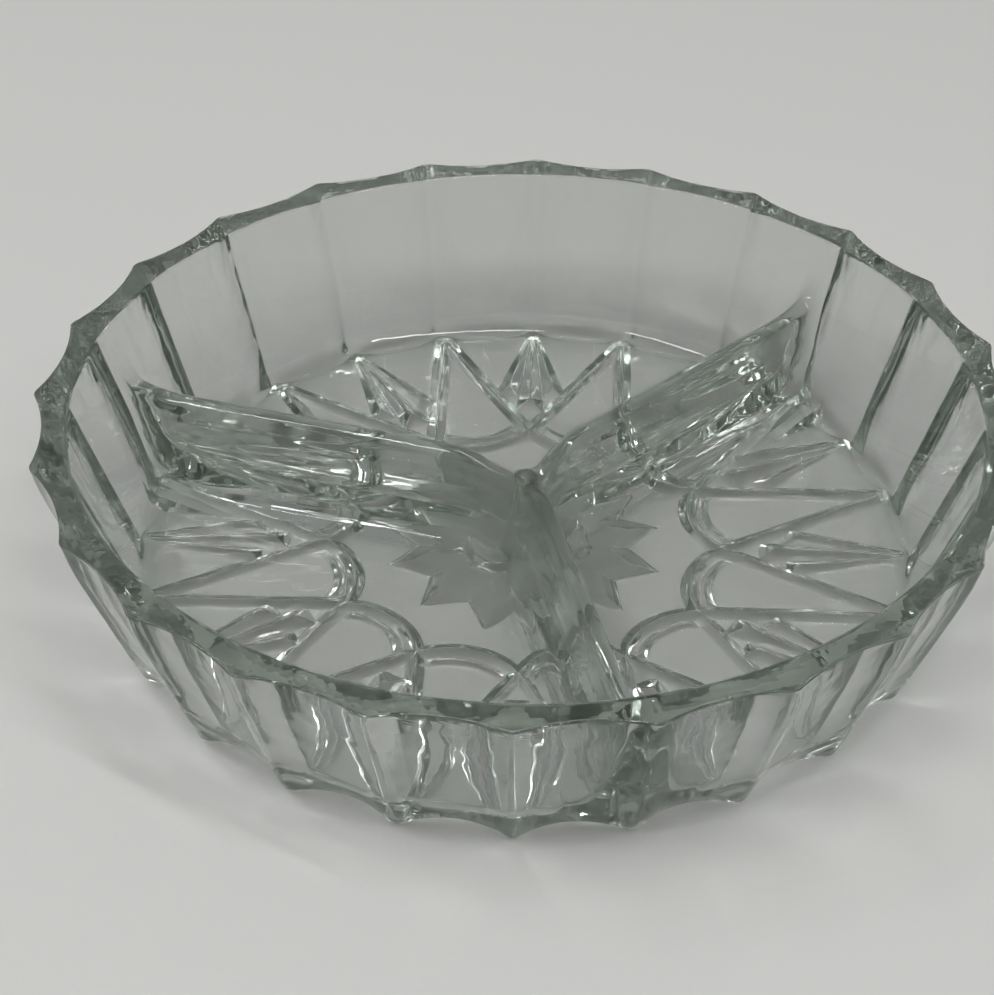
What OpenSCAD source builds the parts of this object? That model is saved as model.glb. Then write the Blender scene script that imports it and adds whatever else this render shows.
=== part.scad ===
// Round pressed-glass relish dish with three compartments, in millimetres.
// The dish is one pressing. It is modelled as its named regions, which meet face to face.
// The origin is the middle of the base on the table, +Z is up and the front divider lies along -Y.

/* [Overall] */
// Diameter over the tips of the rim
rim_d = 200; // [180:1:240]
// Diameter over the tips of the base, at the table
base_d = 172; // [156:1:200]
// Height of the flat rim above the table
bowl_h = 39.5; // [34:0.5:60]

/* [Wall] */
// Number of flutes around the outside
flutes = 24; // [24:12:36]
// Depth of a flute at the rim, below the line between its two arrises
rim_flute_depth = 2.6; // [1.6:0.1:4]
// Depth of a flute at the table
base_flute_depth = 4.3; // [2.5:0.1:5.5]
// Width of the land left along each arris
arris_land = 1.6; // [0.8:0.1:3]
// Glass behind the middle of a flute, at the rim
rim_t = 4; // [3:0.1:6]
// Glass behind the middle of a flute, at the floor
foot_t = 3.5; // [3:0.1:6]
// Height of the plain band at the top of the wall
rim_band_h = 3; // [2:0.5:6]
// Bevel under the tips of the base
base_bevel = 1.5; // [0.5:0.1:2.5]

/* [Floor] */
// Thickness of the floor
floor_t = 5; // [4.5:0.1:9]
// Radius of the fillet between the floor and the wall
floor_fillet = 6; // [3:0.5:9]

/* [Dividers] */
// Height of a divider above the floor
divider_h = 20.5; // [12:0.5:24]
// Width of a divider at the floor
divider_w = 12.8; // [8:0.2:16]
// Radius of the rounded top of a divider
divider_crown_r = 2; // [1:0.1:3]
// Length over which the top of a divider sweeps up to the wall
sweep_run = 12; // [6:0.5:20]
// Height by which the top of a divider sweeps up at the wall
sweep_rise = 3.5; // [1:0.5:5]

/* [Star] */
// Radius of the points of the star under the floor
star_r = 29; // [20:0.5:32]
// Radius of the notches between the points of the star
star_notch_r = 19.5; // [12:0.5:24]
// Depth of the star at its middle
star_depth = 3; // [1:0.1:3.8]

/* [Teardrops] */
// Radius of the circle that the round ends of the teardrops touch
tear_in_r = 36; // [35:0.5:40]
// Radius at which neighbouring teardrops meet
tear_meet_r = 43; // [42:0.5:48]
// Width over which neighbouring teardrops run into each other
tear_overlap = 0.8; // [0.4:0.1:2]
// Width of the groove that outlines a teardrop
tear_groove_w = 5; // [3:0.1:6]
// Depth of the groove that outlines a teardrop
tear_groove_depth = 1.4; // [0.8:0.1:2.4]
// Distance from the base tips to the points of the teardrops
tear_point_gap = 6; // [4:0.5:12]

/* [Fans] */
// Number of grooves in each half of a fan
fan_grooves = 4; // [2:1:4]
// Distance from the base tips to the points of the fans
fan_point_gap = 4; // [3:0.5:8]
// Length of a fan from its point to its inner edge
fan_len = 25; // [16:0.5:28]
// Length by which the middle of a fan's inner edge stays back
fan_cleft = 7; // [2:0.5:10]
// Width of a fan at its inner edge
fan_w = 13; // [8:0.5:16]
// Width of a fan at its point
fan_point_w = 4; // [2:0.5:8]
// Depth of the grooves at the point of a fan
fan_depth = 1.6; // [0.8:0.1:2.2]

/* [Hidden] */
$fn = 96;
glass = [0.80, 0.84, 0.82];
rim_glass = [0.62, 0.70, 0.66];
cut_glass = [0.72, 0.77, 0.75];
over = 2;
arc_steps = 10;
divider_angles = [270, 30, 150];

rim_r = rim_d / 2;
base_r = base_d / 2;
half_pitch = 180 / flutes;
motifs = flutes / 2;
half_motif = 180 / motifs;

// Middle of a flute, and the cone that hollows it
rim_flute_r = rim_r * cos(half_pitch) - rim_flute_depth;
base_flute_r = base_r * cos(half_pitch) - base_flute_depth;
flute_lean = atan((rim_flute_r - base_flute_r) / bowl_h);
flute_len = bowl_h / cos(flute_lean);
function flute_chord(tip_r) = 2 * tip_r * sin(half_pitch) - arris_land;
function arc_radius(chord, sagitta) = (chord * chord / 4 + sagitta * sagitta) / (2 * sagitta);
rim_flute_round = arc_radius(flute_chord(rim_r), rim_flute_depth) / cos(flute_lean);
base_flute_round = arc_radius(flute_chord(base_r), base_flute_depth) / cos(flute_lean);
flute_cone = atan((rim_flute_round - base_flute_round) / flute_len);
rim_cone_r = rim_flute_round * cos(flute_cone);
base_cone_r = base_flute_round * cos(flute_cone);

// Inside of the wall, and the fillet at its foot
function tip_r(z) = base_r + (rim_r - base_r) * z / bowl_h;
function flute_r(z) = base_flute_r + (rim_flute_r - base_flute_r) * z / bowl_h;
inside_rim_r = rim_flute_r - rim_t;
inside_floor_r = flute_r(floor_t) - foot_t;
inside_lean = atan((inside_rim_r - inside_floor_r) / (bowl_h - floor_t));
function inside_r(z) = inside_floor_r + (z - floor_t) * tan(inside_lean);
fillet_reach = floor_fillet * tan((90 - inside_lean) / 2);
fillet_x = inside_floor_r - fillet_reach;

// Tops of the dividers
divider_top = floor_t + divider_h;
flank_lean = atan((divider_w / 2 - divider_crown_r) / (divider_h - divider_crown_r));
sweep_start = inside_r(divider_top) - sweep_run;
sweep_r = arc_radius(2 * sweep_run, sweep_rise);
sweep_end = inside_r(divider_top + sweep_rise) + over;

// Outline of a teardrop
meet_x = tear_meet_r * cos(half_motif);
meet_y = tear_meet_r * sin(half_motif) + tear_overlap / 2;
tear_outer_r = arc_radius(2 * meet_y, meet_x - tear_in_r);
tear_x = tear_in_r + tear_outer_r;
tear_half_arc = asin(meet_y / tear_outer_r);
tear_point_x = base_r - tear_point_gap;
tear_leg_angle = atan2(meet_y, tear_point_x - meet_x);
tear_inner_r = tear_outer_r - tear_groove_w;
tear_leg_gap = (tear_point_x - tear_x) * sin(tear_leg_angle) - tear_groove_w;
tear_inner_half_arc = 90 + tear_leg_angle - acos(tear_leg_gap / tear_inner_r);
medallion_r = (star_r + tear_in_r) / 2;

// Cone that hollows one flute along +X, with its inner side on the middle of the flute
module flute_cone() {
    reach = 2 * over;
    translate([base_flute_r, 0, 0])
        rotate([0, flute_lean + flute_cone, 0])
            translate([base_cone_r, 0, -reach * cos(flute_cone)])
                cylinder(h = (flute_len + 2 * reach) * cos(flute_cone),
                         r1 = base_cone_r - reach * sin(flute_cone),
                         r2 = rim_cone_r + reach * sin(flute_cone));
}

// Solid outside of the dish between two heights, with its flutes
module fluted_slice(z0, z1) {
    difference() {
        rotate_extrude()
            polygon([[0, z0],
                     if (z0 == 0) [tip_r(0) - base_bevel, 0],
                     if (z0 == 0) [tip_r(base_bevel), base_bevel],
                     if (z0 > 0) [tip_r(z0), z0],
                     [tip_r(z1), z1],
                     [0, z1]]);
        for (i = [0 : flutes - 1])
            rotate([0, 0, (2 * i + 1) * half_pitch])
                flute_cone();
    }
}

// Space inside the dish, open at the top
module inside_space() {
    rotate_extrude()
        polygon([[0, floor_t],
                 for (i = [0 : arc_steps])
                     let (a = (90 - inside_lean) * i / arc_steps)
                         [fillet_x + floor_fillet * sin(a), floor_t + floor_fillet * (1 - cos(a))],
                 [inside_r(bowl_h + over), bowl_h + over],
                 [0, bowl_h + over]]);
}

// Groove with a V section from a point at the surface to a deeper point at the given distance
module v_groove(length, depth, half_width) {
    below = 1;
    scale_up = (depth + below) / depth;
    rotate([0, -atan(depth / length), 0])
        rotate([90, 0, 90])
            linear_extrude(norm([length, depth]))
                polygon([[0, 0], [-half_width * scale_up, -depth * scale_up],
                         [half_width * scale_up, -depth * scale_up]]);
}

// Pyramid that sinks the star into the underside
module star_cut() {
    edge = [for (i = [0 : 2 * motifs - 1])
                let (r = i % 2 == 0 ? star_r : star_notch_r, a = i * half_motif)
                    [r * cos(a), r * sin(a), 0]];
    count = len(edge);
    polyhedron(points = [each edge, [0, 0, star_depth], [0, 0, -over]],
               faces = [for (i = [0 : count - 1]) each [[(i + 1) % count, i, count],
                                                       [i, (i + 1) % count, count + 1]]]);
}

// Groove that outlines one teardrop along +X
module teardrop_cut() {
    translate([0, 0, -over])
        linear_extrude(tear_groove_depth + over)
            difference() {
                polygon([for (i = [-arc_steps : arc_steps])
                             let (a = 180 + tear_half_arc * i / arc_steps)
                                 [tear_x, 0] + tear_outer_r * [cos(a), sin(a)],
                         [tear_point_x, 0]]);
                polygon([for (i = [-arc_steps : arc_steps])
                             let (a = 180 + tear_inner_half_arc * i / arc_steps)
                                 [tear_x, 0] + tear_inner_r * [cos(a), sin(a)],
                         [tear_point_x - tear_groove_w / sin(tear_leg_angle), 0]]);
            }
}

// Fan of V grooves along +X that spreads inwards from its point near the base tip
module fan_cut() {
    point_x = base_r - fan_point_gap;
    groove_half = fan_w / (4 * fan_grooves);
    for (side = [-1, 1], i = [0 : fan_grooves - 1]) {
        y = side * (2 * i + 1) * groove_half;
        point_y = y * fan_point_w / fan_w;
        back = fan_cleft * (1 - i / (fan_grooves - 1));
        x = point_x - fan_len + back;
        translate([x, y, 0])
            rotate([0, 0, atan2(point_y - y, point_x - x)])
                v_groove(norm([point_x - x, point_y - y]), fan_depth, groove_half);
    }
}

// Middle of the floor, with the star pressed into its underside
module star_medallion() {
    color(cut_glass)
        difference() {
            cylinder(h = floor_t, r = medallion_r);
            star_cut();
        }
}

// Floor around the medallion, with teardrops and fans pressed into its underside
module patterned_floor() {
    color(cut_glass)
        difference() {
            fluted_slice(0, floor_t);
            translate([0, 0, -over])
                cylinder(h = floor_t + 2 * over, r = medallion_r);
            for (i = [0 : motifs - 1]) {
                rotate([0, 0, 2 * i * half_motif])
                    teardrop_cut();
                rotate([0, 0, (2 * i + 1) * half_motif])
                    fan_cut();
            }
        }
}

// Fluted wall from the floor to the rim band
module fluted_wall() {
    color(glass)
        difference() {
            fluted_slice(floor_t, bowl_h - rim_band_h);
            inside_space();
        }
}

// Top of the wall, with the flat scalloped rim
module rim_band() {
    color(rim_glass)
        difference() {
            fluted_slice(bowl_h - rim_band_h, bowl_h);
            inside_space();
        }
}

// One third of the plan, about the line at the given angle
module third(angle) {
    linear_extrude(bowl_h + over)
        polygon([[0, 0], for (a = [-60, 0, 60]) 2 * rim_r * [cos(angle + a), sin(angle + a)]]);
}

// Divider from the middle to the wall, with a rounded top that sweeps up at the wall
module divider(angle) {
    color(glass)
        intersection() {
            rotate([0, 0, angle]) {
                translate([0, 0, floor_t])
                    rotate([90, 0, 90])
                        linear_extrude(rim_r)
                            polygon([[-divider_w / 2, 0], [divider_w / 2, 0],
                                     for (i = [0 : arc_steps])
                                         let (a = flank_lean + (180 - 2 * flank_lean) * i / arc_steps)
                                             [0, divider_h - divider_crown_r]
                                             + divider_crown_r * [cos(a), sin(a)]]);
                rotate([90, 0, 0])
                    linear_extrude(1.6 * divider_crown_r, center = true)
                        polygon([[sweep_start, divider_top - divider_crown_r],
                                 [sweep_end, divider_top - divider_crown_r],
                                 for (i = [arc_steps : -1 : 0])
                                     let (x = (sweep_end - sweep_start) * i / arc_steps)
                                         [sweep_start + x, divider_top + sweep_r
                                          - sqrt(sweep_r * sweep_r - x * x)]]);
            }
            inside_space();
            third(angle);
        }
}

module divider_front() { divider(divider_angles[0]); }
module divider_right() { divider(divider_angles[1]); }
module divider_left() { divider(divider_angles[2]); }

star_medallion();
patterned_floor();
fluted_wall();
rim_band();
divider_front();
divider_right();
divider_left();
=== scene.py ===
import math

import bpy
import numpy as np
from mathutils import Matrix, Vector


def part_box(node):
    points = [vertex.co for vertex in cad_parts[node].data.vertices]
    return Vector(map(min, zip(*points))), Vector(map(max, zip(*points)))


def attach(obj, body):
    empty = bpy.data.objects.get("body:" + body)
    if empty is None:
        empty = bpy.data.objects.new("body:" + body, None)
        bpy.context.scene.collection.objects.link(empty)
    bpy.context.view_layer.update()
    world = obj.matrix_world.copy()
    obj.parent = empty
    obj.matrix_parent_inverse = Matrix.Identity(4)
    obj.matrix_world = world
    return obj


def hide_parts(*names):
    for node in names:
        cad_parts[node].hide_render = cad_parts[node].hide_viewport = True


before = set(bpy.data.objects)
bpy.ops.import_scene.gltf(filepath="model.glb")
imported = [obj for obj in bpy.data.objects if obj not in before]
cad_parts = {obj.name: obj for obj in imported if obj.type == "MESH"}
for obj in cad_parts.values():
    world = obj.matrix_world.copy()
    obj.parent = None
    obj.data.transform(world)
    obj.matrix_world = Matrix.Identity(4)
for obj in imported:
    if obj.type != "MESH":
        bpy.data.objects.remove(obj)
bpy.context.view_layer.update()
scene = bpy.context.scene

MM = 0.001
NODES = ["star_medallion", "patterned_floor", "fluted_wall", "rim_band",
         "divider_front", "divider_right", "divider_left"]

# Main sizes of the frame, in millimetres like every length of the dish
rim_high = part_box("rim_band")[1]
floor_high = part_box("patterned_floor")[1]
RIM_R = rim_high.x / MM
BOWL_H = rim_high.z / MM
FLOOR_T = floor_high.z / MM
BASE_R = RIM_R - (RIM_R - floor_high.x / MM) * BOWL_H / (BOWL_H - FLOOR_T)

# Wall: flutes outside, which deepen at their foot, and a slight swell below the rim
FLUTES = 24
FLUTE_ANGLE = math.radians(18.0)
FLUTE_FOOT_DEPTH = 2.5
FLUTE_FOOT_H = 10.0
FLUTE_FOOT_POWER = 1.5
ARRIS_SOFT = 1.0
ARRIS_FOOT_SOFT = 3.2
SWELL_SLOPE = 0.035
SWELL_TUCK = 0.1
SWELL_SOFT = 0.6
INSIDE_RIM_R = 91.8
INSIDE_FLOOR_R = 79.4
BASE_ROUND = 1.6
FOOT_LIFT = 0.03

# Rim
RIM_SLOPE = math.tan(math.radians(1.8))
RIM_ROUND = 0.6
RIM_SINK = 0.06
RIM_MARK = 0.014
RIM_EVEN_ENDS = 6

# Floor and dividers
FLOOR_FILLET = 6.0
DIVIDER_ANGLES = (30, 150, 270)
DIVIDER_H = 20.5
DIVIDER_W = 12.8
DIVIDER_CROWN_R = 2.2
DIVIDER_FILLET = 7.0
DIVIDER_FALL = 3
DIVIDER_DIP = 5.0
DIVIDER_DIP_R = 16.0
HUB_SOFT = 5.0
FLOOR_SOFT = 0.05
WALL_SOFT = 8.0
WALL_SOFT_FROM_R = 64.0
WALL_SOFT_RUN = 14.0
SWEEP_RUN = 12.0
SWEEP_PAST = 6
SWEEP_RISE = 2.5
FLOW_SIZE = 0.03
FLOW_FROM = 8.0

# Pattern under the floor: a star, teardrops and fans of mitred strokes
MOTIFS = 12
STAR_R = 29.0
STAR_NOTCH_R = 22.0
STAR_SLOPE = 1.3
STAR_DEPTH = 0.5
STAR_RAY_SLOPE = 0.4
STAR_RAY_DEPTH = 1.9
STAR_MIDDLE_SOFT = 0.4
STAR_SIDE_SOFT = 0.3
STAR_EDGE_SOFT = 0.2
TEAR_IN_R = 34.2
TEAR_MEET_R = 38.5
TEAR_POINT_R = 88.0
TEAR_LEG_ANGLE = math.radians(14.7)
TEAR_STROKE_W = 3.9
TEAR_INNER_W = 2.5
TEAR_SOFT = 0.6
FAN_POINT_R = 84.0
FAN_SIDE = 0.19
FAN_HALF = 0.092
FAN_SIDE_END = 29.5
FAN_MIDDLE_END = 35.0
FAN_END_SLOPE = 0.8
STROKE_SLOPE = 1.15
STROKE_SOFT = 0.5
GROUND_SOFT = 0.35
EDGE_R = 82.5
EDGE_FADE = 4.0
EDGE_FLAT = 5.0

# Unevenness of the pressed surfaces
INSIDE_RIPPLE = 0.05
RIM_HEIGHT_RIPPLE = 0.1
RIM_RIPPLE = 0.05
RIM_RIPPLE_SCALE = 3.1
WALL_RIPPLE = 0.08
WALL_FINE_RIPPLE = 0.06
WALL_FINE_SCALE = 2.3
WALL_FINE_FROM_H = 20.0
WALL_FINE_RUN = 14.0
UNDERSIDE_RIPPLE = 0.03

# Glass: the star is satin, the rim has a trace of it
GLASS_COLOUR = (0.8, 0.807, 0.799, 1)
GLASS_IOR = 1.52
GLASS_TINT = (0.79, 0.822, 0.796, 1)
GLASS_TINT_DENSITY = 58.0
SATIN_ROUGHNESS = 0.95
STAR_SATIN_RUN = 0.8
STAR_SATIN_BELOW = 3
RIM_SATIN = 0.05
RIM_SATIN_H = 1.4
RIM_SATIN_RUN = 0.5

# Mesh: columns of a full ring, halved towards the middle
COLUMNS = 1536
LEAST_COLUMNS = 48
LEAST_SPACING = 0.16
EVEN_FROM_H = 31.5
CROWD_SHARE = 0.5
CROWD_HALF_W = 14.0
CROWD_MOST = 0.6
TINY_R = 0.01

# Rings of the mesh: steps in radius near the middle, at the hub and on the floor, then counts
MIDDLE_STEP = 0.3
MIDDLE_RINGS = 12
HUB_FROM_R = 4.0
HUB_R = 20.0
HUB_STEP = 0.4
FLOOR_STEP = 0.8
FLOOR_END_GAP = 1.0
FILLET_START_GAP = 0.6
FILLET_RINGS = 24
INSIDE_WALL_RINGS = 42
RIM_EDGE_RINGS = 5
RIM_RINGS = 15
WALL_RINGS = 34
FLUTE_FOOT_RINGS = 22
BASE_EDGE_RINGS = 7
BASE_RINGS = 28
PATTERN_STEP = 0.3
PATTERN_MIDDLE_R = 2.0
PATTERN_LEAST_R = 0.25

HALF_PITCH = math.pi / FLUTES
HALF_MOTIF = math.pi / MOTIFS


def arc_radius(chord, sagitta):
    return (chord * chord / 4 + sagitta * sagitta) / (2 * sagitta)


def smooth_min(a, b, k):
    h = np.maximum(k - np.abs(a - b), 0) / k
    return np.minimum(a, b) - h * h * k / 4


def smooth_max(a, b, k):
    return -smooth_min(-a, -b, k)


def smooth_step(t):
    t = np.clip(t, 0, 1)
    return t * t * (3 - 2 * t)


def ripple(x, y, z, size):
    """Slow unevenness of a pressed surface, at most size up or down."""
    a = np.sin(0.31 * x + 0.17 * y + 0.23 * z + 0.4) * np.sin(0.27 * y - 0.12 * x + 1.7)
    b = np.sin(0.52 * x - 0.41 * y + 0.36 * z + 2.1) * np.sin(0.47 * x + 0.58 * y + 0.3)
    c = np.sin(0.83 * x + 0.71 * y - 0.64 * z + 5.2) * np.sin(0.77 * y - 0.69 * x + 3.9)
    return size * (0.5 * a + 0.3 * b + 0.2 * c)


def outside_r(angle, z):
    """Outside of the wall: rounded arrises on a swelling cone, with flutes hollowed between them."""
    swell = smooth_min(SWELL_SLOPE * (z - FLUTE_FOOT_H), SWELL_TUCK * (BOWL_H - z), SWELL_SOFT)
    tip = BASE_R + (RIM_R - BASE_R) * z / BOWL_H
    tip = tip + np.maximum(swell, 0)
    half = tip * math.sin(HALF_PITCH)
    foot = FLUTE_FOOT_DEPTH * np.maximum(1 - z / FLUTE_FOOT_H, 0) ** FLUTE_FOOT_POWER
    depth = half * math.tan(FLUTE_ANGLE / 2) + foot
    hollow = arc_radius(2 * half, depth)
    centre = tip * math.cos(HALF_PITCH) - depth + hollow
    phi = np.abs(np.mod(angle, 2 * HALF_PITCH) - HALF_PITCH)
    sides = []
    for turn_to in (phi, 2 * HALF_PITCH - phi):
        chord = np.maximum(hollow * hollow - (centre * np.sin(turn_to)) ** 2, 0)
        sides.append(centre * np.cos(turn_to) - np.sqrt(chord))
    soft = ARRIS_SOFT + (ARRIS_FOOT_SOFT - ARRIS_SOFT) * smooth_step(1 - z / FLUTE_FOOT_H)
    return smooth_min(sides[0], sides[1], soft)


# Inside of the dish: floor, fillet and flared wall
inside_lean = math.atan((INSIDE_RIM_R - INSIDE_FLOOR_R) / (BOWL_H - FLOOR_T))
fillet_x = INSIDE_FLOOR_R - FLOOR_FILLET * math.tan((math.pi / 2 - inside_lean) / 2)
fillet_end_x = fillet_x + FLOOR_FILLET * math.cos(inside_lean)
wall_top_z = BOWL_H - RIM_ROUND * math.cos(inside_lean)


def inside_r(z):
    return INSIDE_FLOOR_R + (z - FLOOR_T) * math.tan(inside_lean)


def bowl_z(r):
    wall = FLOOR_T + (r - INSIDE_FLOOR_R) / math.tan(inside_lean)
    t = np.clip(r - fillet_x, 0, FLOOR_FILLET * math.cos(inside_lean))
    fillet = FLOOR_T + FLOOR_FILLET - np.sqrt(FLOOR_FILLET ** 2 - t * t)
    return np.where(r > fillet_end_x, wall, fillet)


# Cross section of a divider, and the sweep of its top up the wall
divider_top = FLOOR_T + DIVIDER_H
flank_lean = math.atan((DIVIDER_W / 2 - DIVIDER_CROWN_R) / (DIVIDER_H - DIVIDER_CROWN_R))
flank_slope = 1 / math.tan(flank_lean)
crown_x = DIVIDER_CROWN_R * math.cos(flank_lean)
crown_drop = DIVIDER_CROWN_R * (1 - math.sin(flank_lean))
foot_x = crown_x + (DIVIDER_H - crown_drop) / flank_slope
foot_reach = DIVIDER_FILLET * math.tan((math.pi / 2 - flank_lean) / 2)
foot_end_x = foot_x + foot_reach
foot_start_x = foot_x - foot_reach * math.sin(flank_lean)
sweep_start = inside_r(divider_top) - SWEEP_RUN
sweep_r = arc_radius(2 * SWEEP_RUN, SWEEP_RISE)


def divider_z(x, y, angle):
    """Rounded crown, flank with flow lines and round foot of one divider, which falls away beyond it."""
    along = x * math.cos(angle) + y * math.sin(angle)
    across = np.hypot(y * math.cos(angle) - x * math.sin(angle), np.minimum(along, 0))
    down = flank_slope * across
    flow = np.sin(1.1 * down + 0.09 * along + angle)
    flow = flow + 0.6 * np.sin(1.9 * down - 0.13 * along + 2 * angle)
    fade = smooth_step(across / DIVIDER_CROWN_R)
    across = across + FLOW_SIZE * flow * fade * smooth_step(along / FLOW_FROM)
    t = np.clip(along - sweep_start, 0, SWEEP_RUN + SWEEP_PAST)
    top = divider_top + sweep_r - np.sqrt(sweep_r ** 2 - t * t)
    top = top - DIVIDER_DIP * smooth_step(1 - along / DIVIDER_DIP_R)
    crown = np.sqrt(np.maximum(DIVIDER_CROWN_R ** 2 - across * across, 0)) - DIVIDER_CROWN_R
    flank = -crown_drop - (across - crown_x) * flank_slope
    upper = np.where(across < crown_x, crown, flank) + top
    back = np.clip(foot_end_x - across, 0, DIVIDER_FILLET)
    foot = FLOOR_T + DIVIDER_FILLET - np.sqrt(DIVIDER_FILLET ** 2 - back * back)
    foot = np.where(across > foot_end_x, FLOOR_T - DIVIDER_FALL * (across - foot_end_x), foot)
    foot = foot + (top - divider_top) * smooth_step((foot_end_x - across) / (foot_end_x - foot_start_x))
    return np.where(across < foot_start_x, upper, foot)


def inside_z(x, y):
    r = np.hypot(x, y)
    ridges = None
    for degrees in DIVIDER_ANGLES:
        ridge = divider_z(x, y, math.radians(degrees))
        ridges = ridge if ridges is None else smooth_max(ridges, ridge, HUB_SOFT)
    soft = FLOOR_SOFT + WALL_SOFT * smooth_step((r - WALL_SOFT_FROM_R) / WALL_SOFT_RUN)
    z = smooth_max(bowl_z(r), ridges, soft)
    return z + ripple(x, y, z, INSIDE_RIPPLE)


# Arch of a teardrop, through the points where it meets its neighbours
meet_x = TEAR_MEET_R * math.cos(HALF_MOTIF)
meet_y = TEAR_MEET_R * math.sin(HALF_MOTIF)
tear_arch_r = arc_radius(2 * meet_y, meet_x - TEAR_IN_R)
tear_x = TEAR_IN_R + tear_arch_r


def motif_turn(angle):
    """Angle from the nearest of the axes that the star's points and the teardrops share."""
    return np.mod(angle + HALF_MOTIF, 2 * HALF_MOTIF) - HALF_MOTIF


def star_inward(r, phi):
    """Distance inside the edge of the star, phi measured from one of its points."""
    tip = np.array([STAR_R, 0.0])
    notch = STAR_NOTCH_R * np.array([math.cos(HALF_MOTIF), math.sin(HALF_MOTIF)])
    edge = (notch - tip) / np.linalg.norm(notch - tip)
    return edge[1] * (STAR_R - r * np.cos(phi)) + edge[0] * r * np.sin(np.abs(phi))


def star_depth(r, phi):
    """Steep sides, then gently sloped rays that end in a level middle."""
    inward = star_inward(r, phi)
    ray = smooth_min(STAR_DEPTH + STAR_RAY_SLOPE * inward, STAR_RAY_DEPTH, STAR_MIDDLE_SOFT)
    return smooth_max(smooth_min(STAR_SLOPE * inward, ray, STAR_SIDE_SOFT), 0 * r, STAR_EDGE_SOFT)


def stroke(t, width):
    """Mitred groove across t from 0 to width."""
    return STROKE_SLOPE * smooth_min(t, width - t, STROKE_SOFT)


def tear_depth(r, phi):
    """Stroke along a teardrop's outline and a second one inside its arch, phi measured from its axis."""
    x = r * np.cos(phi)
    y = np.abs(r * np.sin(phi))
    arch = tear_arch_r - np.hypot(np.minimum(x - tear_x, 0), y)
    leg = (TEAR_POINT_R - x) * math.sin(TEAR_LEG_ANGLE) - y * math.cos(TEAR_LEG_ANGLE)
    outline = stroke(smooth_min(arch, leg, TEAR_SOFT), TEAR_STROKE_W)
    inner = smooth_min(stroke(arch - TEAR_STROKE_W, TEAR_INNER_W), leg - TEAR_STROKE_W, STROKE_SOFT)
    return np.maximum(outline, inner)


def fan_depth(r, phi):
    """Three mitred strokes that spread from a point at the foot of the wall, phi measured from the axis."""
    u = FAN_POINT_R - r * np.cos(phi)
    v = np.abs(r * np.sin(phi))
    side = FAN_HALF * u - np.abs(v - FAN_SIDE * u)
    side = smooth_min(side, FAN_END_SLOPE * (FAN_SIDE_END - u), STROKE_SOFT)
    middle = FAN_HALF * u - v
    middle = smooth_min(middle, FAN_END_SLOPE * (FAN_MIDDLE_END - u), STROKE_SOFT)
    return STROKE_SLOPE * np.maximum(side, middle)


def underside_z(x, y):
    """Underside of the floor, with the pattern pressed up into it."""
    r = np.hypot(x, y)
    angle = np.arctan2(y, x)
    phi = motif_turn(angle)
    gap = np.mod(angle, 2 * HALF_MOTIF) - HALF_MOTIF
    z = np.maximum(tear_depth(r, phi), tear_depth(r, 2 * HALF_MOTIF - np.abs(phi)))
    z = np.maximum(z, fan_depth(r, gap))
    z = smooth_max(z, 0 * r, GROUND_SOFT) * smooth_step((EDGE_R - r) / EDGE_FADE)
    return z + star_depth(r, phi) + ripple(x, y, 0, UNDERSIDE_RIPPLE) + FOOT_LIFT


def rim_marks(angle, t):
    """Fine marks that run across the rim, t from its inner to its outer edge."""
    marks = np.sin(143 * angle + 2.0 * t)
    marks = marks + np.sin(227 * angle - 3.0 * t + 1.3)
    marks = marks + np.sin(331 * angle + 4.0 * t + 2.9)
    return RIM_MARK * marks * (0.6 + 0.4 * np.sin(17 * angle) * np.sin(29 * angle + 1.0))


# The mesh runs in rings from the middle of the inside over the rim to the middle of the underside
def ring(x, y, z):
    return np.stack([x, y, np.broadcast_to(z, x.shape)], axis=1)


def columns_at(r):
    count = COLUMNS
    while count > LEAST_COLUMNS and 2 * math.pi * r / count < LEAST_SPACING:
        count //= 2
    return count


def even_angles(count):
    return -math.pi / 6 + 2 * math.pi * np.arange(count) / count


def divider_angles_at(r, count, even):
    """Angles that crowd near the three dividers, eased to an even spread."""
    per = count // 3
    t = 2 * np.arange(per) / per - 1
    half = math.asin(min(CROWD_HALF_W / max(r, TINY_R), CROWD_MOST))
    near = np.arcsin(np.clip(np.abs(t) / CROWD_SHARE, 0, 1) * math.sin(half))
    outer = np.clip((np.abs(t) - CROWD_SHARE) / (1 - CROWD_SHARE), 0, 1)
    far = half + (math.pi / 3 - half) * outer
    crowded = np.sign(t) * np.where(np.abs(t) < CROWD_SHARE, near, far)
    one = crowded * (1 - even) + t * math.pi / 3 * even
    return np.concatenate([math.radians(a) + one for a in DIVIDER_ANGLES])


out_angle = even_angles(COLUMNS)
out_cos = np.cos(out_angle)
out_sin = np.sin(out_angle)
rim_foot_z = BOWL_H - RIM_SLOPE * (RIM_R - INSIDE_RIM_R) - RIM_ROUND


def section(r, z):
    """Radius and height for every column of a full ring."""
    return np.stack([r + np.zeros(COLUMNS), z + np.zeros(COLUMNS)], axis=1)


def section_ring(points):
    return ring(points[:, 0] * out_cos, points[:, 0] * out_sin, points[:, 1])


def bend_rings(first, corner, last, steps):
    """Rings of a rounded corner, without its two ends."""
    made = []
    for t in np.linspace(0, 1, steps + 2)[1:-1]:
        made.append(section_ring(first * (1 - t) ** 2 + corner * 2 * t * (1 - t) + last * t * t))
    return made


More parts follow.
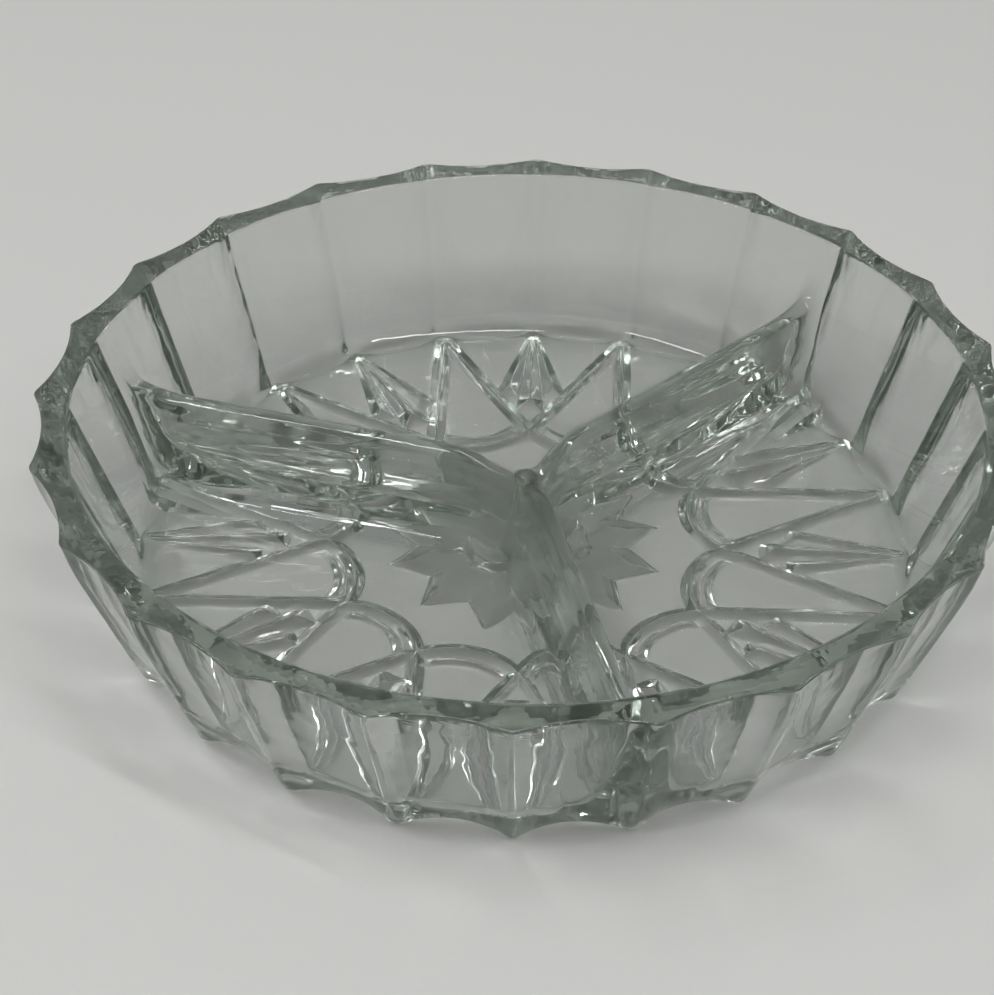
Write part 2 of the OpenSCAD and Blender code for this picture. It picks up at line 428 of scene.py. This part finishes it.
def inside_rings():
    even_from_r = inside_r(EVEN_FROM_H)
    radii = np.concatenate([
        np.arange(1, MIDDLE_RINGS + 1) * MIDDLE_STEP,
        np.arange(HUB_FROM_R, HUB_R, HUB_STEP),
        np.arange(HUB_R, fillet_x - FLOOR_END_GAP, FLOOR_STEP),
        np.linspace(fillet_x - FILLET_START_GAP, fillet_end_x, FILLET_RINGS),
        np.linspace(fillet_end_x, inside_r(wall_top_z), INSIDE_WALL_RINGS)[1:],
    ])
    made = []
    for r in radii:
        even = float(smooth_step((r - even_from_r) / (inside_r(wall_top_z) - even_from_r)))
        angle = divider_angles_at(r, columns_at(r), even)
        x, y = r * np.cos(angle), r * np.sin(angle)
        made.append(ring(x, y, inside_z(x, y)))
    return made


def rim_rings():
    """Rounded inner edge, sloping top with its marks, rounded outer edge."""
    inner_r = inside_r(BOWL_H) + np.zeros(COLUMNS)
    outer_r = outside_r(out_angle, BOWL_H)
    lift = ripple(inner_r * out_cos, inner_r * out_sin, BOWL_H, RIM_HEIGHT_RIPPLE) - RIM_HEIGHT_RIPPLE
    fall = RIM_SLOPE * (outer_r - inner_r)
    inner_foot = section(inside_r(wall_top_z), wall_top_z)
    inner_corner = section(inner_r, BOWL_H + lift)
    inner_edge = section(inner_r + RIM_ROUND, BOWL_H + lift - RIM_SLOPE * RIM_ROUND)
    outer_edge = section(outer_r - RIM_ROUND, BOWL_H + lift - fall + RIM_SLOPE * RIM_ROUND)
    outer_corner = section(outer_r, BOWL_H + lift - fall)
    outer_foot = section(outside_r(out_angle, rim_foot_z), rim_foot_z)
    made = bend_rings(inner_foot, inner_corner, inner_edge, RIM_EDGE_RINGS)
    for t in np.linspace(0, 1, RIM_RINGS):
        top = inner_edge * (1 - t) + outer_edge * t
        x, y = top[:, 0] * out_cos, top[:, 0] * out_sin
        uneven = ripple(RIM_RIPPLE_SCALE * x, RIM_RIPPLE_SCALE * y, 0, RIM_RIPPLE) + rim_marks(out_angle, t)
        top[:, 1] += uneven * smooth_step(RIM_EVEN_ENDS * t) * smooth_step(RIM_EVEN_ENDS * (1 - t)) - RIM_SINK
        made.append(section_ring(top))
    return made + bend_rings(outer_edge, outer_corner, outer_foot, RIM_EDGE_RINGS)


def wall_rings():
    heights = np.concatenate([
        np.linspace(rim_foot_z, FLUTE_FOOT_H, WALL_RINGS),
        np.linspace(FLUTE_FOOT_H, BASE_ROUND, FLUTE_FOOT_RINGS)[1:],
    ])
    made = []
    for z in heights:
        r = outside_r(out_angle, z)
        fine = WALL_FINE_RIPPLE * float(smooth_step((z - WALL_FINE_FROM_H) / WALL_FINE_RUN))
        scaled = WALL_FINE_SCALE * r
        slow = ripple(r * out_cos, r * out_sin, z, WALL_RIPPLE)
        r = r + slow + ripple(scaled * out_cos, scaled * out_sin, WALL_FINE_SCALE * z, fine)
        made.append(ring(r * out_cos, r * out_sin, z))
    return made


def underside_rings():
    """Rounded edge of the base, then the patterned underside."""
    base_foot = section(outside_r(out_angle, BASE_ROUND), BASE_ROUND)
    base_corner = section(outside_r(out_angle, 0), FOOT_LIFT)
    base_edge = section(base_corner[:, 0] - BASE_ROUND, FOOT_LIFT)
    made = bend_rings(base_foot, base_corner, base_edge, BASE_EDGE_RINGS)
    flat_r = EDGE_R - EDGE_FLAT
    for t in np.linspace(0, 1, BASE_RINGS)[:-1]:
        r = base_edge[:, 0] * (1 - t) + flat_r * t
        x, y = r * out_cos, r * out_sin
        made.append(ring(x, y, underside_z(x, y)))
    radii = np.concatenate([
        np.arange(flat_r, PATTERN_MIDDLE_R, -PATTERN_STEP),
        np.arange(PATTERN_MIDDLE_R, PATTERN_LEAST_R, -PATTERN_STEP),
    ])
    for r in radii:
        angle = even_angles(columns_at(r))
        x, y = r * np.cos(angle), r * np.sin(angle)
        made.append(ring(x, y, underside_z(x, y)))
    return made


def join(a, b, start_a, start_b):
    """Faces between neighbouring rings of a and b points: the same count, or one twice the other."""
    made = []
    if a == b:
        for i in range(a):
            j = (i + 1) % a
            made.append((start_a + i, start_b + i, start_b + j, start_a + j))
    elif b == 2 * a:
        for i in range(a):
            j = (i + 1) % a
            p, q, s = start_b + 2 * i, start_b + 2 * i + 1, start_b + 2 * j
            made.append((start_a + i, p, q))
            made.append((start_a + i, q, start_a + j))
            made.append((start_a + j, q, s))
    else:
        for i in range(b):
            j = (i + 1) % b
            p, q, s = start_a + 2 * i, start_a + 2 * i + 1, start_a + 2 * j
            made.append((p, start_b + i, q))
            made.append((q, start_b + i, start_b + j))
            made.append((q, start_b + j, s))
    return made


def smooth_mesh(name, points, faces):
    mesh = bpy.data.meshes.new(name)
    mesh.from_pydata(points, [], faces)
    mesh.shade_smooth()
    mesh.update()
    return mesh


def add_object(name, data):
    obj = bpy.data.objects.new(name, data)
    scene.collection.objects.link(obj)
    return obj


def build_dish():
    rings = inside_rings() + rim_rings() + wall_rings() + underside_rings()
    counts = [len(r) for r in rings]
    starts = [sum(counts[:i]) for i in range(len(counts))]
    total = sum(counts)
    faces = []
    for i in range(len(rings) - 1):
        faces.extend(join(counts[i], counts[i + 1], starts[i], starts[i + 1]))
    for i in range(counts[0]):
        faces.append((total, i, (i + 1) % counts[0]))
    for i in range(counts[-1]):
        faces.append((starts[-1] + i, total + 1, starts[-1] + (i + 1) % counts[-1]))
    zero = np.zeros(1)
    poles = np.array([[0, 0, inside_z(zero, zero)[0]], [0, 0, underside_z(zero, zero)[0]]])
    points = np.concatenate(rings + [poles]) * MM
    mesh = smooth_mesh("glass_dish", points.tolist(), faces)
    x, y, z = points[:, 0] / MM, points[:, 1] / MM, points[:, 2] / MM
    inward = star_inward(np.hypot(x, y), motif_turn(np.arctan2(y, x)))
    frost = smooth_step(inward / STAR_SATIN_RUN) * (z < STAR_SATIN_BELOW)
    frost += RIM_SATIN * smooth_step((z - BOWL_H + RIM_SATIN_H) / RIM_SATIN_RUN)
    mesh.attributes.new("frost", "FLOAT", "POINT").data.foreach_set("value", frost)
    return add_object("glass_dish", mesh)


def glass_material():
    """Clear tinted glass with a faint uneven haze, satin where the mesh says so."""
    mat = bpy.data.materials.new("clear_glass")
    mat.use_nodes = True
    nodes, links = mat.node_tree.nodes, mat.node_tree.links
    shader = nodes["Principled BSDF"]
    shader.inputs["Base Color"].default_value = GLASS_COLOUR
    shader.inputs["Transmission Weight"].default_value = 1.0
    shader.inputs["IOR"].default_value = GLASS_IOR
    shader.inputs["Roughness"].default_value = 0.0
    place = nodes.new("ShaderNodeTexCoord")
    smudge = nodes.new("ShaderNodeTexNoise")
    smudge.inputs["Scale"].default_value = 38.0
    smudge.inputs["Detail"].default_value = 5.0
    smudge.inputs["Roughness"].default_value = 0.6
    links.new(place.outputs["Object"], smudge.inputs["Vector"])
    haze = nodes.new("ShaderNodeMapRange")
    haze.inputs["From Min"].default_value = 0.48
    haze.inputs["From Max"].default_value = 0.8
    haze.inputs["To Min"].default_value = 0.0
    haze.inputs["To Max"].default_value = 0.05
    links.new(smudge.outputs["Fac"], haze.inputs["Value"])
    frost = nodes.new("ShaderNodeAttribute")
    frost.attribute_name = "frost"
    satin = nodes.new("ShaderNodeMath")
    satin.operation = "MULTIPLY_ADD"
    satin.inputs[1].default_value = SATIN_ROUGHNESS
    links.new(frost.outputs["Fac"], satin.inputs[0])
    links.new(haze.outputs["Result"], satin.inputs[2])
    links.new(satin.outputs["Value"], shader.inputs["Roughness"])
    tint = nodes.new("ShaderNodeVolumeAbsorption")
    tint.inputs["Color"].default_value = GLASS_TINT
    tint.inputs["Density"].default_value = GLASS_TINT_DENSITY
    links.new(tint.outputs["Volume"], nodes["Material Output"].inputs["Volume"])
    return mat


dish = build_dish()
dish.data.materials.append(glass_material())
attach(dish, "root")
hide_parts(*NODES)

# Stage, in metres: a round floor just below the dish that curves up into a low wall
STAGE_GAP = 0.0003
STAGE_R = 1.5
STAGE_BEND = 0.4
STAGE_H = 0.55
STAGE_SIDES = 96
STAGE_BEND_STEPS = 12
STAGE_COLOUR = (0.61, 0.61, 0.597, 1)


def build_stage():
    profile = [(r, 0.0) for r in (0.3, 0.6, STAGE_R - STAGE_BEND)]
    for i in range(1, STAGE_BEND_STEPS + 1):
        a = math.pi / 2 * i / STAGE_BEND_STEPS
        profile.append((STAGE_R - STAGE_BEND + STAGE_BEND * math.sin(a), STAGE_BEND * (1 - math.cos(a))))
    profile.append((STAGE_R, STAGE_H))
    points = [(0.0, 0.0, -STAGE_GAP)]
    for r, z in profile:
        for i in range(STAGE_SIDES):
            a = 2 * math.pi * i / STAGE_SIDES
            points.append((r * math.cos(a), r * math.sin(a), z - STAGE_GAP))
    faces = [(0, 1 + i, 1 + (i + 1) % STAGE_SIDES) for i in range(STAGE_SIDES)]
    for k in range(len(profile) - 1):
        faces.extend(join(STAGE_SIDES, STAGE_SIDES, 1 + k * STAGE_SIDES, 1 + (k + 1) * STAGE_SIDES))
    return add_object("stage_floor", smooth_mesh("stage_floor", points, faces))


def stage_material():
    mat = bpy.data.materials.new("pale_floor")
    mat.use_nodes = True
    shader = mat.node_tree.nodes["Principled BSDF"]
    shader.inputs["Base Color"].default_value = STAGE_COLOUR
    shader.inputs["Roughness"].default_value = 0.9
    shader.inputs["Specular IOR Level"].default_value = 0.1
    return mat


stage = build_stage()
stage.data.materials.append(stage_material())


def softbox(name, place, size, watts):
    """Rectangular lamp that faces the dish."""
    lamp = bpy.data.lights.new(name, "AREA")
    lamp.shape = "RECTANGLE"
    lamp.size, lamp.size_y = size
    lamp.energy = watts
    obj = add_object(name, lamp)
    obj.location = place
    obj.rotation_euler = (Vector((0, 0, 0)) - Vector(place)).to_track_quat("-Z", "Y").to_euler()
    obj.visible_camera = False
    return obj


softbox("top_softbox", (-0.25, -0.45, 1.3), (0.9, 0.4), 4.0).visible_glossy = False
softbox("strip", (-0.7, 0.0, 1.15), (1.1, 0.05), 4.5)
softbox("cross_strip", (0.3, -0.35, 1.25), (0.05, 1.1), 4.5)
softbox("glint", (1.0, 0.75, 0.85), (0.07, 0.03), 0.5)

WORLD_COLOUR = (0.34, 0.343, 0.336, 1)
world = bpy.data.worlds.new("studio")
world.use_nodes = True
world.node_tree.nodes["Background"].inputs["Color"].default_value = WORLD_COLOUR
world.node_tree.nodes["Background"].inputs["Strength"].default_value = 1.0
scene.world = world

# Camera at the photograph's viewing angle, in metres
VIEW_TURN = math.radians(-13.3)
VIEW_DOWN = math.radians(36.61)
VIEW_ROLL = math.radians(0.363)
VIEW_DISTANCE = 0.5604
VIEW_SIDE = -0.0057
VIEW_UP = 0.0101
VIEW_BASE_Z = 0.003
FOCAL_PX = 2675.6
FRAME_W = 994
SENSOR_W = 36.0
back = Vector((0, -math.cos(VIEW_DOWN), math.sin(VIEW_DOWN)))
flat_right = Vector((1, 0, 0))
flat_up = back.cross(flat_right)
right = flat_right * math.cos(VIEW_ROLL) + flat_up * math.sin(VIEW_ROLL)
up = flat_up * math.cos(VIEW_ROLL) - flat_right * math.sin(VIEW_ROLL)
eye = back * VIEW_DISTANCE + right * VIEW_SIDE + up * VIEW_UP
turn = Matrix.Rotation(VIEW_TURN, 3, "Z")
pose = Matrix((turn @ right, turn @ up, turn @ back)).transposed().to_4x4()
pose.translation = turn @ eye + Vector((0, 0, VIEW_BASE_Z))
lens = bpy.data.cameras.new("view")
lens.sensor_fit = "HORIZONTAL"
lens.sensor_width = SENSOR_W
lens.lens = FOCAL_PX * SENSOR_W / FRAME_W
lens.clip_start = 0.01
camera = add_object("view", lens)
camera.matrix_world = pose
scene.camera = camera

GLASS_BOUNCES = 28
scene.view_settings.view_transform = "Standard"
scene.cycles.max_bounces = GLASS_BOUNCES
scene.cycles.transmission_bounces = GLASS_BOUNCES
scene.cycles.glossy_bounces = 12
scene.cycles.blur_glossy = 0.0
scene.cycles.sample_clamp_indirect = 27.0

bpy.context.view_layer.update()
